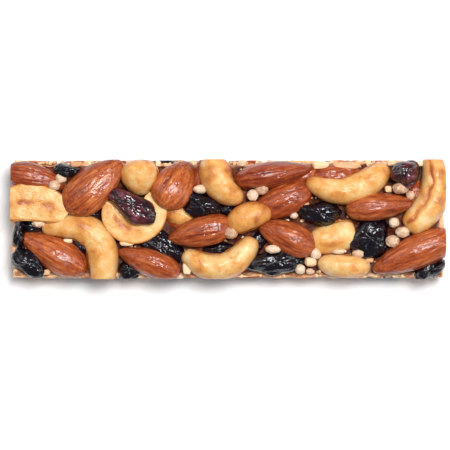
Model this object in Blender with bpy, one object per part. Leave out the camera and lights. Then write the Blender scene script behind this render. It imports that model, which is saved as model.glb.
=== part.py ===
"""A fruit-and-nut granola bar, 125 mm long: whole almonds, cashews and dried fruit pressed into a base.

The bar lies flat along X. Its origin is the middle of its underside, +X is the right end and +Z is up.
Every piece that shows on top is its own solid. The base holds the puffed crisps, the small chopped nuts
and the lower layer of pieces that shows at the sides. Sizes and places below are in millimetres.
"""

import math
import random

import bmesh
import bpy
import numpy as np
from mathutils import Euler, Matrix, Vector

MM = 0.001

# The bar was cut with a knife from a pressed slab: to this length and this width.
BAR_LENGTH = 125.0
BAR_WIDTH = 34.4
BAR_HEIGHT = 16.0

# The base: the height it fills to between the pieces, its inset from the cut faces, and its unevenness.
BASE_TOP = 8.8
BASE_INSET = 0.8
BASE_WAVE = 0.5

# The clear gap between two pieces, and the distance within which two points of a cut are one.
GAP = 0.45
WELD = 0.002

# Segments round and rings along of each kind of piece, and the share of its faces kept once it is cut.
ALMOND_MESH = (10, 7)
CASHEW_MESH = (9, 9)
FRUIT_MESH = (9, 6)
CRISP_MESH = (6, 4)
LOWER_MESH = (7, 5)
PIECE_FACES_KEPT = 0.72
BASE_FACES_KEPT = 0.6

# The lower layer of pieces, which shows only at the sides and ends.
LOWER_SEED = 11
LOWER_HEIGHT = 3.7
LOWER_SPACING = 12.6
LOWER_INSET = 2.6

# Whole almonds: x, y, z of the middle, length, width, depth, heading of the tip, tilt, roll in degrees.
ALMONDS = (
    (-55.3, 11.7, 9.3, 18.4, 8.4, 7.6, -14, 0, 0),
    (-50.2, -9.8, 8.9, 21.4, 10.0, 8.6, 151, 0, 12),
    (-38.6, 9.5, 11.4, 21.6, 12.4, 8.2, 41, 0, -10),
    (-15.2, 10.0, 10.6, 15.8, 12.0, 8.0, 56, 14, 0),
    (-22.7, -12.4, 9.8, 19.0, 8.2, 9.0, 160, 0, 10),
    (-7.5, 12.1, 7.2, 12.1, 6.9, 7.0, 80, 0, 0),
    (13.0, 12.9, 10.0, 23.0, 7.8, 10.8, 9, 0, 0),
    (15.3, 5.3, 9.6, 19.0, 10.1, 8.0, 205, 0, 12),
    (-7.9, -3.5, 10.6, 19.0, 9.2, 8.0, 193, 0, 8),
    (16.9, -5.1, 10.4, 17.9, 9.8, 8.4, 156, 0, -8),
    (31.7, 12.5, 8.2, 16.1, 7.5, 7.0, 5, 0, 0),
    (43.6, 3.7, 11.2, 19.9, 8.1, 8.6, 6, 0, 10),
    (53.6, -9.7, 10.6, 26.0, 10.2, 8.8, 203, 0, -8),
    (22.8, 12.8, 7.4, 10.9, 6.3, 7.0, 30, 0, 0),
    (-15.0, -0.5, 6.8, 9.8, 6.3, 6.5, 150, 0, 0),
    (54.2, 7.9, 7.4, 9.6, 6.8, 6.5, 64, 0, 0),
)

# Cashews: x, y, z of the middle of the bent centre line, its length, width, depth, heading there,
# bend in degrees from end to end, sharpness of the bend, taper towards the far end, how round its ends
# are (0.5 round, 0.2 broken off square), and whether it is a split half that lies with its flat face up.
CASHEWS = (
    (-56.1, 4.8, 12.2, 21.3, 11.0, 8.0, -4, -62, 0.8, -0.06, 0.34, True),
    (-38.8, -4.6, 9.6, 31.0, 9.2, 8.4, -44, -108, 2.0, 0.20, 0.34, False),
    (-26.0, -2.5, 11.4, 25.0, 9.0, 8.4, 13, 238, 0.3, 0.0, 0.34, True),
    (-14.4, 1.8, 7.8, 11.5, 7.2, 7.0, -30, 20, 0.5, 0.0, 0.40, False),
    (-2.6, 10.3, 10.6, 17.0, 9.2, 9.8, -58, 88, 1.2, -0.2, 0.36, False),
    (6.0, 0.8, 11.2, 13.2, 8.3, 8.4, 20, -62, 0.8, -0.08, 0.38, False),
    (-1.5, -13.4, 9.8, 24.8, 8.1, 9.0, 12, 110, 1.0, 0.04, 0.30, False),
    (30.5, -5.2, 9.2, 13.0, 9.2, 7.5, 14, 0, 0.5, 0.06, 0.18, False),
    (35.0, 8.5, 10.8, 26.0, 8.6, 9.4, 11, 88, 0.8, 0.16, 0.36, False),
    (59.2, 6.8, 10.4, 25.0, 9.0, 9.4, -107, -66, 1.8, 0.18, 0.28, False),
    (33.4, -13.3, 9.6, 15.4, 7.0, 8.0, -5, 10, 0.5, 0.0, 0.38, False),
    (-25.3, 12.0, 10.6, 10.4, 11.0, 10.0, -84, 0, 0.5, -0.26, 0.46, False),
)

# Dried fruit: x, y, z of the middle, length, width, depth, heading in degrees.
DRIED_FRUIT = (
    (-46.4, 13.9, 10.6, 8.1, 4.3, 5.0, -5),
    (-60.2, -4.5, 9.0, 8.6, 3.7, 6.0, 80),
    (-57.3, -12.6, 9.2, 11.5, 7.2, 6.5, -35),
    (-41.7, 2.1, 8.0, 12.1, 5.2, 6.0, 0),
    (-27.1, 3.5, 13.3, 15.6, 7.5, 5.2, -34),
    (-19.3, -7.7, 8.6, 16.7, 8.6, 6.5, -35),
    (-28.5, -14.6, 7.5, 7.5, 6.3, 6.0, 0),
    (-7.5, 3.8, 10.2, 11.5, 7.5, 7.5, -8),
    (0.0, 2.4, 8.5, 5.2, 4.6, 6.0, 0),
    (8.4, -7.1, 7.6, 10.9, 5.2, 5.5, 50),
    (14.1, -12.3, 9.4, 17.9, 7.2, 7.2, 5),
    (26.5, 1.8, 10.0, 12.7, 6.9, 7.0, -3),
    (51.0, 12.9, 11.6, 8.9, 8.1, 8.0, 20),
    (40.9, -5.4, 9.8, 13.0, 10.9, 7.5, 60),
    (58.2, -14.6, 8.8, 10.4, 5.2, 7.0, 28),
    (-56.1, -1.6, 7.8, 10.4, 4.6, 5.0, 5),
    (-42.3, -8.3, 7.5, 6.3, 4.0, 5.0, -50),
    (-3.2, -8.6, 7.4, 11.5, 4.6, 5.5, 10),
)

# Puffed crisps and small chopped nuts between the pieces: x, y, z of the top, length, width.
CRISPS = (
    (-47.9, 11.9, 12.6, 3.3, 2.9),
    (-49.9, 9.7, 13.2, 3.4, 3.0),
    (-54.5, -1.0, 12.0, 3.7, 2.9),
    (-8.0, 8.6, 13.4, 3.9, 2.6),
    (9.6, 8.6, 13.6, 3.9, 3.2),
    (7.1, 6.9, 13.6, 3.2, 3.2),
    (0.8, -4.0, 14.2, 3.7, 3.5),
    (13.0, -8.6, 13.4, 4.3, 2.6),
    (20.8, -14.4, 12.4, 2.9, 2.9),
    (23.6, -15.0, 11.6, 2.6, 1.7),
    (25.2, -9.9, 12.4, 3.3, 3.2),
    (37.7, -9.8, 12.4, 4.1, 2.6),
    (49.5, 8.9, 14.2, 4.5, 3.5),
    (52.4, 6.9, 12.4, 2.6, 2.6),
    (47.7, -0.9, 13.0, 3.1, 2.9),
    (50.2, -3.7, 13.2, 4.1, 3.2),
    (47.2, -6.3, 13.6, 4.0, 3.5),
    (32.0, -9.2, 11.6, 4.0, 1.7),
    (19.0, 1.1, 11.8, 2.3, 2.0),
    (26.7, 15.6, 11.0, 5.2, 2.4),
    (34.0, 15.5, 10.8, 8.6, 2.2),
    (23.8, -12.2, 11.8, 3.6, 2.9),
    (21.9, 3.5, 12.0, 3.7, 3.7),
    (-29.1, -6.7, 11.6, 4.6, 2.0),
    (-11.8, -14.0, 11.4, 2.6, 4.0),
    (40.7, -11.7, 11.0, 2.6, 1.7),
    (47.2, 16.3, 10.8, 2.9, 2.0),
    (55.5, 16.0, 10.8, 2.6, 1.7),
    (-43.8, 15.8, 11.0, 3.7, 1.7),
    (46.1, 8.7, 12.0, 2.3, 2.0),
    (-52.7, -15.2, 10.8, 3.2, 1.7),
    (-46.2, -6.2, 10.6, 2.9, 1.4),
)

# Colour, roughness and metallic value of each sub-part's surface.
SURFACES = {
    "almond_skin": ((0.31, 0.080, 0.022), 0.35, 0.0),
    "cashew_flesh": ((0.82, 0.49, 0.19), 0.38, 0.0),
    "fruit_skin": ((0.012, 0.009, 0.016), 0.25, 0.0),
    "syrup_base": ((0.42, 0.21, 0.085), 0.40, 0.0),
}


def clear_scene():
    """Starts from an empty scene."""
    for item in list(bpy.data.objects):
        bpy.data.objects.remove(item, do_unlink=True)


def collection(name):
    """A new collection in the scene."""
    made = bpy.data.collections.new(name)
    bpy.context.scene.collection.children.link(made)
    return made


def surface(name):
    """The Principled material of one kind of piece."""
    colour, roughness, metallic = SURFACES[name]
    made = bpy.data.materials.get(name) or bpy.data.materials.new(name)
    made.use_nodes = True
    shader = made.node_tree.nodes["Principled BSDF"]
    shader.inputs["Base Color"].default_value = (*colour, 1.0)
    shader.inputs["Roughness"].default_value = roughness
    shader.inputs["Metallic"].default_value = metallic
    return made


def almond_shape(ball, length, width, depth):
    """Takes a ball's points to an almond: fullest behind the middle, drawn in to a tip at +X."""
    along = ball[:, 0]
    swell = (1.0 - 0.20 * along) * (1.0 - 0.16 * ((1.0 + along) / 2.0) ** 3)
    half = ball[:, 1:] * swell[:, None] * 0.5 * np.array([width, depth])
    return np.column_stack([along * length / 2.0, half])


def centre_line(places, length, bend, sharpness):
    """Points and headings on a cashew's centre line: its heading turns as a tanh of the way along."""
    steps = np.linspace(-1.0, 1.0, 65)
    turn = math.radians(bend) / 2.0 * np.tanh(sharpness * steps) / math.tanh(sharpness)
    half_step = length / 2.0 * (steps[1] - steps[0])
    x = np.concatenate([[0.0], np.cumsum((np.cos(turn[1:]) + np.cos(turn[:-1])) / 2.0 * half_step)])
    y = np.concatenate([[0.0], np.cumsum((np.sin(turn[1:]) + np.sin(turn[:-1])) / 2.0 * half_step)])
    x -= np.interp(0.0, steps, x)
    y -= np.interp(0.0, steps, y)
    return np.interp(places, steps, x), np.interp(places, steps, y), np.interp(places, steps, turn)


def cashew_shape(ball, length, width, depth, bend, sharpness, taper, ends, split):
    """Takes a ball's points to a bent, round-ended cashew, or to half of one with its flat face up."""
    along = ball[:, 0]
    round_part = np.maximum(np.hypot(ball[:, 1], ball[:, 2]), 1e-9)
    full = np.maximum(1.0 - along**2, 0.0) ** ends * (1.0 + taper * along)
    across = ball[:, 1] / round_part * full * width / 2.0
    upward = ball[:, 2] / round_part * full * depth / 2.0
    if split:
        upward = np.where(upward > 0.0, upward * 0.16, upward)
    x, y, turn = centre_line(along, length, bend, sharpness)
    return np.column_stack([x - np.sin(turn) * across, y + np.cos(turn) * across, upward])


def fruit_shape(ball, length, width, depth, phase):
    """Takes a ball's points to a shrunken berry: a flattened ball with a few uneven lobes."""
    around = np.arctan2(ball[:, 1], ball[:, 0])
    lobes = 1.0 + 0.06 * np.sin(3.0 * around + phase) + 0.04 * np.sin(5.0 * around - 2.0 * phase)
    return ball * lobes[:, None] * 0.5 * np.array([length, width, depth])


def place(x, y, z, heading, tilt=0.0, roll=0.0):
    """Where a piece lies: its middle, its heading about Z, its tilt about Y and its roll about X."""
    turn = Euler((math.radians(roll), math.radians(tilt), math.radians(heading)), "XYZ")
    return Matrix.Translation(Vector((x, y, z)) * MM) @ turn.to_matrix().to_4x4()


def shaped_mesh(name, shape, segments, rings):
    """A closed mesh: a ball with its poles on X, its points moved by the shape function."""
    shell = bmesh.new()
    bmesh.ops.create_uvsphere(shell, u_segments=segments, v_segments=rings, radius=1.0)
    bmesh.ops.rotate(shell, verts=shell.verts, matrix=Matrix.Rotation(math.radians(90.0), 3, "Y"))
    ball = np.array([point.co for point in shell.verts])
    for point, moved in zip(shell.verts, shape(ball)):
        point.co = Vector(moved) * MM
    bmesh.ops.recalc_face_normals(shell, faces=shell.faces)
    mesh = bpy.data.meshes.new(name)
    shell.to_mesh(mesh)
    shell.free()
    return mesh


def new_object(name, mesh, where, group):
    """An object of this mesh at this place, in this collection."""
    made = bpy.data.objects.new(name, mesh)
    made.matrix_world = where
    group.objects.link(made)
    return made


def make_helper(item):
    """Marks a cutter, which is not part of the bar."""
    item.hide_render = True
    item.display_type = "WIRE"


def add_cutter(piece, group):
    """A copy of a piece with every point moved out along its normal, to cut clear of the piece."""
    mesh = piece.data.copy()
    outward = [point.normal.copy() for point in mesh.vertices]
    for point, normal in zip(mesh.vertices, outward):
        point.co += normal * GAP * MM
    cutter = new_object(piece.name + ".cutter", mesh, piece.matrix_world, group)
    make_helper(cutter)
    return cutter


def box_object(name, low, high, group):
    """A box between two corners."""
    shell = bmesh.new()
    bmesh.ops.create_cube(shell, size=1.0)
    size = [(b - a) * MM for a, b in zip(low, high)]
    middle = Vector([(a + b) / 2.0 * MM for a, b in zip(low, high)])
    bmesh.ops.scale(shell, verts=shell.verts, vec=size)
    mesh = bpy.data.meshes.new(name)
    shell.to_mesh(mesh)
    shell.free()
    return new_object(name, mesh, Matrix.Translation(middle), group)


def cut_box(group):
    """The space inside the knife's four cuts, down to the tray."""
    cuts = box_object(
        "cuts",
        (-BAR_LENGTH / 2.0, -BAR_WIDTH / 2.0, 0.0),
        (BAR_LENGTH / 2.0, BAR_WIDTH / 2.0, 3.0 * BAR_HEIGHT),
        group,
    )
    make_helper(cuts)
    return cuts


def combine(item, operation, others):
    """Adds a Boolean with one object, or with everything in a collection."""
    step = item.modifiers.new(operation.lower(), "BOOLEAN")
    step.operation = operation
    step.solver = "EXACT"
    if isinstance(others, bpy.types.Collection):
        step.operand_type = "COLLECTION"
        step.collection = others
    else:
        step.object = others


def is_closed(mesh):
    """Whether there is a surface, and every edge of it joins exactly two faces."""
    shell = bmesh.new()
    shell.from_mesh(mesh)
    closed = len(shell.edges) > 0 and all(edge.is_manifold for edge in shell.edges)
    shell.free()
    return closed


def thin_out(item, share):
    """Keeps this share of the faces, dropping those that change the shape least, if it stays closed."""
    whole = item.data
    step = item.modifiers.new("thin_out", "DECIMATE")
    step.ratio = share
    step.use_collapse_triangulate = True
    settle(item)
    if not is_closed(item.data):
        item.data = whole


def applied(item):
    """The piece's mesh with its modifiers applied, as one body without scraps."""
    bpy.context.view_layer.update()
    graph = bpy.context.evaluated_depsgraph_get()
    mesh = bpy.data.meshes.new_from_object(item.evaluated_get(graph))
    keep_largest_body(mesh)
    return mesh


def settle(item):
    """Applies the piece's modifiers, with the other Boolean solver where the exact one fails."""
    mesh = applied(item)
    if not is_closed(mesh):
        for step in item.modifiers:
            if step.type == "BOOLEAN":
                step.solver = "MANIFOLD"
        mesh = applied(item)
    item.modifiers.clear()
    item.data = mesh


def keep_largest_body(mesh):
    """Welds a mesh's nearly equal points, and deletes all but the largest of its separate bodies."""
    shell = bmesh.new()
    shell.from_mesh(mesh)
    bmesh.ops.remove_doubles(shell, verts=shell.verts, dist=WELD * MM)
    bmesh.ops.dissolve_degenerate(shell, edges=shell.edges, dist=WELD * MM)
    bmesh.ops.triangulate(shell, faces=shell.faces)
    unseen = set(shell.verts)
    bodies = []
    while unseen:
        front = [unseen.pop()]
        body = []
        while front:
            point = front.pop()
            body.append(point)
            beside = [edge.other_vert(point) for edge in point.link_edges]
            fresh = [other for other in beside if other in unseen]
            unseen.difference_update(fresh)
            front.extend(fresh)
        bodies.append(body)
    largest = max(bodies, key=body_size, default=None)
    scraps = [point for body in bodies if body is not largest for point in body]
    bmesh.ops.delete(shell, geom=scraps, context="VERTS")
    shell.to_mesh(mesh)
    shell.free()


def body_size(points):
    """The volume of the box round these points."""
    corners = np.array([point.co for point in points])
    return float(np.prod(corners.max(axis=0) - corners.min(axis=0)))


def boxes_meet(first, second):
    """Whether the boxes round two objects overlap."""
    ranges = []
    for item in (first, second):
        corners = np.array([item.matrix_world @ Vector(corner) for corner in item.bound_box])
        ranges.append((corners.min(axis=0), corners.max(axis=0)))
    (low_a, high_a), (low_b, high_b) = ranges
    return bool(np.all(low_a < high_b) and np.all(low_b < high_a))


def add_piece(name, shape, fineness, where, finish, group, cutters):
    """One piece that shows on top, with the cutter that clears it. Returns both."""
    segments, rings = fineness
    mesh = shaped_mesh(name, shape, segments, rings)
    mesh.materials.append(surface(finish))
    piece = new_object(name, mesh, where, group)
    return piece, add_cutter(piece, cutters)


def top_pieces(group, cutters):
    """The whole almonds, cashews and dried fruit that show on top, each a named object with its cutter."""
    pieces = []
    for number, row in enumerate(ALMONDS, 1):
        x, y, z, length, width, depth, heading, tilt, roll = row
        pieces.append(add_piece(
            f"almond_{number:02d}",
            lambda ball: almond_shape(ball, length, width, depth),
            ALMOND_MESH, place(x, y, z, heading, tilt, roll), "almond_skin", group, cutters,
        ))
    for number, row in enumerate(CASHEWS, 1):
        x, y, z, length, width, depth, heading, *form = row
        pieces.append(add_piece(
            f"cashew_{number:02d}",
            lambda ball: cashew_shape(ball, length, width, depth, *form),
            CASHEW_MESH, place(x, y, z, heading), "cashew_flesh", group, cutters,
        ))
    for number, row in enumerate(DRIED_FRUIT, 1):
        x, y, z, length, width, depth, heading = row
        pieces.append(add_piece(
            f"dried_fruit_{number:02d}",
            lambda ball: fruit_shape(ball, length, width, depth, number),
            FRUIT_MESH, place(x, y, z, heading), "fruit_skin", group, cutters,
        ))
    return pieces


def add_crisps(group, cutters):
    """The crisps and chopped nuts: small balls that reach down from their tops into the base."""
    made = []
    for number, (x, y, top, length, width) in enumerate(CRISPS, 1):
        name = f"crisp_{number:02d}"
        depth = top - BASE_TOP + 1.6
        where = place(x, y, top - depth / 2.0, 0.0)
        size = 0.5 * np.array([length, width, depth])
        mesh = shaped_mesh(name, lambda ball: ball * size, *CRISP_MESH)
        crisp = new_object(name, mesh, where, group)
        made.append((crisp, add_cutter(crisp, cutters)))
    return made


def lower_layer(group):
    """The pieces under the top ones that show at the sides and ends, spaced round the bar."""
    draw = random.Random(LOWER_SEED)
    half_length = BAR_LENGTH / 2.0 - LOWER_INSET
    half_width = BAR_WIDTH / 2.0 - LOWER_INSET
    along_side = np.arange(-half_length + 4.0, half_length - 3.0, LOWER_SPACING)
    spots = [(x, -half_width, 0.0) for x in along_side] + [(x, half_width, 0.0) for x in along_side]
    spots += [(side * half_length, y, 90.0) for side in (-1.0, 1.0) for y in (-9.0, 0.0, 9.0)]
    for number, (x, y, heading) in enumerate(spots, 1):
        kind = draw.choice(("almond", "cashew", "fruit"))
        length = draw.uniform(12.0, 16.0)
        width = draw.uniform(6.4, 7.8)
        turn = heading + draw.uniform(-22.0, 22.0)
        z = LOWER_HEIGHT + draw.uniform(-0.5, 0.6)
        shapes = {
            "almond": lambda ball: almond_shape(ball, length, width, width),
            "cashew": lambda ball: cashew_shape(ball, length, width, width, 60.0, 0.8, 0.0, 0.4, False),
            "fruit": lambda ball: fruit_shape(ball, length * 0.8, width, width * 0.9, number),
        }
        mesh = shaped_mesh("lower", shapes[kind], *LOWER_MESH)
        new_object(f"lower_{number:02d}", mesh, place(x, y, z, turn), group)


def base_slab(group):
    """The pressed base before the pieces are set in: a slab with uneven sides and a flat underside."""
    half = np.array([BAR_LENGTH / 2.0 - BASE_INSET, BAR_WIDTH / 2.0 - BASE_INSET])
    slab = box_object("base", (-half[0], -half[1], 0.0), (half[0], half[1], BASE_TOP), group)
    shell = bmesh.new()
    shell.from_mesh(slab.data)
    long_edges = [edge for edge in shell.edges if edge.calc_length() > 20.0 * MM]
    bmesh.ops.subdivide_edges(shell, edges=long_edges, cuts=3, use_grid_fill=True)
    long_edges = [edge for edge in shell.edges if edge.calc_length() > 20.0 * MM]
    bmesh.ops.subdivide_edges(shell, edges=long_edges, cuts=3, use_grid_fill=True)
    for point in shell.verts:
        x, y = point.co.x / MM, point.co.y / MM
        wave = BASE_WAVE * math.sin(0.55 * x + 1.3 * y) * math.cos(0.9 * y - 0.31 * x)
        if abs(x) > half[0] - 0.01:
            point.co.x -= math.copysign(abs(wave), x) * MM
        if abs(y) > half[1] - 0.01:
            point.co.y -= math.copysign(abs(wave), y) * MM
        if point.co.z > 0.0:
            point.co.z += wave * MM
    shell.to_mesh(slab.data)
    shell.free()
    slab.data.materials.append(surface("syrup_base"))
    return slab


def build():
    """The whole bar."""
    clear_scene()
    bar = collection("granola_bar")
    helpers = collection("cutters")
    clearances = collection("clearances")
    crisp_group = collection("crisps")
    lower_group = collection("lower_layer")

    cuts = cut_box(helpers)
    pieces = top_pieces(bar, clearances)
    crisps = add_crisps(crisp_group, helpers)
    lower_layer(lower_group)
    bpy.context.view_layer.update()

    # Each piece clears those that lie higher, and every piece clears the crisps.
    pieces.sort(key=lambda pair: pair[0].location.z, reverse=True)
    for order, (item, _) in enumerate(pieces):
        for _, cutter in crisps + pieces[:order]:
            if boxes_meet(item, cutter):
                combine(item, "DIFFERENCE", cutter)
        combine(item, "INTERSECT", cuts)
        settle(item)
        thin_out(item, PIECE_FACES_KEPT)

    # The base takes in the lower layer, is cut off square and socketed, then takes in the crisps.
    base = base_slab(bar)
    combine(base, "UNION", lower_group)
    combine(base, "INTERSECT", cuts)
    combine(base, "DIFFERENCE", clearances)
    settle(base)
    for crisp, _ in crisps:
        combine(crisp, "INTERSECT", cuts)
        settle(crisp)
    combine(base, "UNION", crisp_group)
    settle(base)
    thin_out(base, BASE_FACES_KEPT)

    for group in (crisp_group, lower_group, clearances):
        for item in list(group.objects):
            bpy.data.objects.remove(item, do_unlink=True)
        bpy.data.collections.remove(group)
    for item in bar.objects:
        item.data.shade_smooth()
        item.data.set_sharp_from_angle(angle=math.radians(50.0))


build()
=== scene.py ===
"""The looks of a fruit-and-nut granola bar, seen from straight above.

Every nut, dried fruit, crisp and crumb is a surface worked out from a ball by a formula, set at its
place in the bar, and cut flat where it meets the knife's cuts or the tray. Sizes are in millimetres
until a mesh is made.
"""

import itertools
import math
import random

import bpy
import numpy as np
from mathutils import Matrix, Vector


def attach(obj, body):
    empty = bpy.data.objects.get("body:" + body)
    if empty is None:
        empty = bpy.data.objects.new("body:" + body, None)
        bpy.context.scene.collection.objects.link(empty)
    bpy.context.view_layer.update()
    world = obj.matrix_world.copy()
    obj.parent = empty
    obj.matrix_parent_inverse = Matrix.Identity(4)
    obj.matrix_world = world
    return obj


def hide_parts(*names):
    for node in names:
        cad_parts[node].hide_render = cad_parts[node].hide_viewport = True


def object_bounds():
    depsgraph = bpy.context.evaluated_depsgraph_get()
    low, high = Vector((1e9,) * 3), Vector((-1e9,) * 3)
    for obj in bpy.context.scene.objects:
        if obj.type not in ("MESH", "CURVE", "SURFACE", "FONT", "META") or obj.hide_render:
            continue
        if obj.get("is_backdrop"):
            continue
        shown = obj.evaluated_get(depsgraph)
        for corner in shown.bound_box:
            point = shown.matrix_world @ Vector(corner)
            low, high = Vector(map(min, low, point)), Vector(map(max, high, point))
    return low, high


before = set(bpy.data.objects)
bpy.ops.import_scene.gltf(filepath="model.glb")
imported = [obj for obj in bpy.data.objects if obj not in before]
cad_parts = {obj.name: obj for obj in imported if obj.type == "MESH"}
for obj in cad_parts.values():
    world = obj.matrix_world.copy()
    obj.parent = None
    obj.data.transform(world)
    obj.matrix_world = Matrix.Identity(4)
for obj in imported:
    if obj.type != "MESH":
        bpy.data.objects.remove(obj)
cad_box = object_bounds()

MM = 0.001

# The bar was cut with a knife from a pressed slab: to this length and this width.
BAR_LENGTH = 125.0
BAR_WIDTH = 34.4
BASE_TOP = 8.8

# The lower layer of pieces, which shows only at the sides, at the ends and underneath.
LOWER_SEED = 11
LOWER_HEIGHT = 3.7
LOWER_SPACING = 12.6
LOWER_INSET = 2.6
BOTTOM_COLUMNS = 9
BOTTOM_ROWS = 3

# The small pieces pressed into the sides and ends, and the crumbs stuck all round.
SIDE_PIECE_COUNT = 150
CRUMB_COUNT = 1500

# The photograph: millimetres to a pixel, and where the middle of the bar lies in it.
PHOTO_SCALE = 0.288
PHOTO_SIZE = 450
BAR_MIDDLE_PX = (227.95, 219.3)

# Whole almonds: x, y, z of the middle, length, width, depth, heading of the tip, tilt, roll in degrees.
ALMONDS = (
    (-55.3, 11.7, 9.3, 18.4, 8.4, 7.6, -14, 0, 0),
    (-50.2, -9.8, 8.9, 21.4, 10.0, 8.6, 151, 0, 12),
    (-38.6, 9.5, 11.4, 21.6, 12.4, 8.2, 41, 0, -10),
    (-15.2, 10.0, 10.6, 15.8, 12.0, 8.0, 56, 14, 0),
    (-22.7, -12.4, 9.8, 19.0, 8.2, 9.0, 160, 0, 10),
    (-7.5, 12.1, 7.2, 12.1, 6.9, 7.0, 80, 0, 0),
    (13.0, 12.9, 10.0, 23.0, 7.8, 10.8, 9, 0, 0),
    (15.3, 5.3, 9.6, 19.0, 10.1, 8.0, 205, 0, 12),
    (-7.9, -3.5, 10.6, 19.0, 9.2, 8.0, 193, 0, 8),
    (16.9, -5.1, 10.4, 17.9, 9.8, 8.4, 156, 0, -8),
    (31.7, 12.5, 8.2, 16.1, 7.5, 7.0, 5, 0, 0),
    (43.6, 3.7, 11.2, 19.9, 8.1, 8.6, 6, 0, 10),
    (53.6, -9.7, 10.6, 26.0, 10.2, 8.8, 203, 0, -8),
    (22.8, 12.8, 7.4, 10.9, 6.3, 7.0, 30, 0, 0),
    (-15.0, -0.5, 6.8, 9.8, 6.3, 6.5, 150, 0, 0),
    (54.2, 7.9, 7.4, 9.6, 6.8, 6.5, 64, 0, 0),
)

# Cashews: x, y, z of the middle of the bent centre line, its length, width, depth, heading there,
# bend in degrees from end to end, sharpness of the bend, taper towards the far end, how round its ends
# are (0.5 round, 0.2 broken off square), and whether it is a split half that lies with its flat face up.
CASHEWS = (
    (-56.1, 4.8, 12.2, 21.3, 11.0, 8.0, -4, -62, 0.8, -0.06, 0.34, True),
    (-38.8, -4.6, 9.6, 31.0, 9.2, 8.4, -44, -108, 2.0, 0.20, 0.34, False),
    (-26.0, -2.5, 11.4, 25.0, 9.0, 8.4, 13, 238, 0.3, 0.0, 0.34, True),
    (-14.4, 1.8, 7.8, 11.5, 7.2, 7.0, -30, 20, 0.5, 0.0, 0.40, False),
    (-2.6, 10.3, 10.6, 17.0, 9.2, 9.8, -58, 88, 1.2, -0.2, 0.36, False),
    (6.0, 0.8, 11.2, 13.2, 8.3, 8.4, 20, -62, 0.8, -0.08, 0.38, False),
    (-1.5, -13.4, 9.8, 24.8, 8.1, 9.0, 12, 110, 1.0, 0.04, 0.30, False),
    (30.5, -5.2, 9.2, 13.0, 9.2, 7.5, 14, 0, 0.5, 0.06, 0.18, False),
    (35.0, 8.5, 10.8, 26.0, 8.6, 9.4, 11, 88, 0.8, 0.16, 0.36, False),
    (59.2, 6.8, 10.4, 25.0, 9.0, 9.4, -107, -66, 1.8, 0.18, 0.28, False),
    (33.4, -13.3, 9.6, 15.4, 7.0, 8.0, -5, 10, 0.5, 0.0, 0.38, False),
    (-25.3, 12.0, 10.6, 10.4, 11.0, 10.0, -84, 0, 0.5, -0.26, 0.46, False),
)

# Dried fruit: x, y, z of the middle, length, width, depth, heading in degrees.
DRIED_FRUIT = (
    (-46.4, 13.9, 10.6, 8.1, 4.3, 5.0, -5),
    (-60.2, -4.5, 9.0, 8.6, 3.7, 6.0, 80),
    (-57.3, -12.6, 9.2, 11.5, 7.2, 6.5, -35),
    (-41.7, 2.1, 8.0, 12.1, 5.2, 6.0, 0),
    (-27.1, 3.5, 13.3, 15.6, 7.5, 5.2, -34),
    (-19.3, -7.7, 8.6, 16.7, 8.6, 6.5, -35),
    (-28.5, -14.6, 7.5, 7.5, 6.3, 6.0, 0),
    (-7.5, 3.8, 10.2, 11.5, 7.5, 7.5, -8),
    (0.0, 2.4, 8.5, 5.2, 4.6, 6.0, 0),
    (8.4, -7.1, 7.6, 10.9, 5.2, 5.5, 50),
    (14.1, -12.3, 9.4, 17.9, 7.2, 7.2, 5),
    (26.5, 1.8, 10.0, 12.7, 6.9, 7.0, -3),
    (51.0, 12.9, 11.6, 8.9, 8.1, 8.0, 20),
    (40.9, -5.4, 9.8, 13.0, 10.9, 7.5, 60),
    (58.2, -14.6, 8.8, 10.4, 5.2, 7.0, 28),
    (-56.1, -1.6, 7.8, 10.4, 4.6, 5.0, 5),
    (-42.3, -8.3, 7.5, 6.3, 4.0, 5.0, -50),
    (-3.2, -8.6, 7.4, 11.5, 4.6, 5.5, 10),
)

# The reddish fruit, by their numbers in the table above.
RED_FRUIT = (5, 13)

# How pale each almond's skin is, 0 to 1, and how toasted each cashew is, 0 to 1, by their numbers.
ALMOND_PALENESS = (0.3, 0.8, 0.8, 0.9, 0.5, 0.2, 0.1, 0.4, 0.65, 0.6, 0.3, 0.6, 0.55, 0.3, 0.3, 0.4)
CASHEW_TOAST = (0.40, 0.42, 0.42, 0.50, 0.52, 0.86, 0.40, 0.26, 0.50, 0.44, 0.20, 0.42)

# Cashews whose seam is turned up into view, by number, in degrees from the hollow side of the bend, and
# the turn of all the others.
SEAM_TURNS = {10: 68.0, 9: 16.0}
USUAL_SEAM_TURN = 12.0

# How far the relief stands out: shares of a nut's half width, and for the fruit's folds millimetres.
ALMOND_LUMP = 0.045
ALMOND_RIDGE = 0.034
CASHEW_LUMP = 0.07
CASHEW_DIMPLE = 0.030
SEAM_DEPTH = 0.11
FOLD_HEIGHT = 0.60
BULGE_HEIGHT = 0.45

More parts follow.
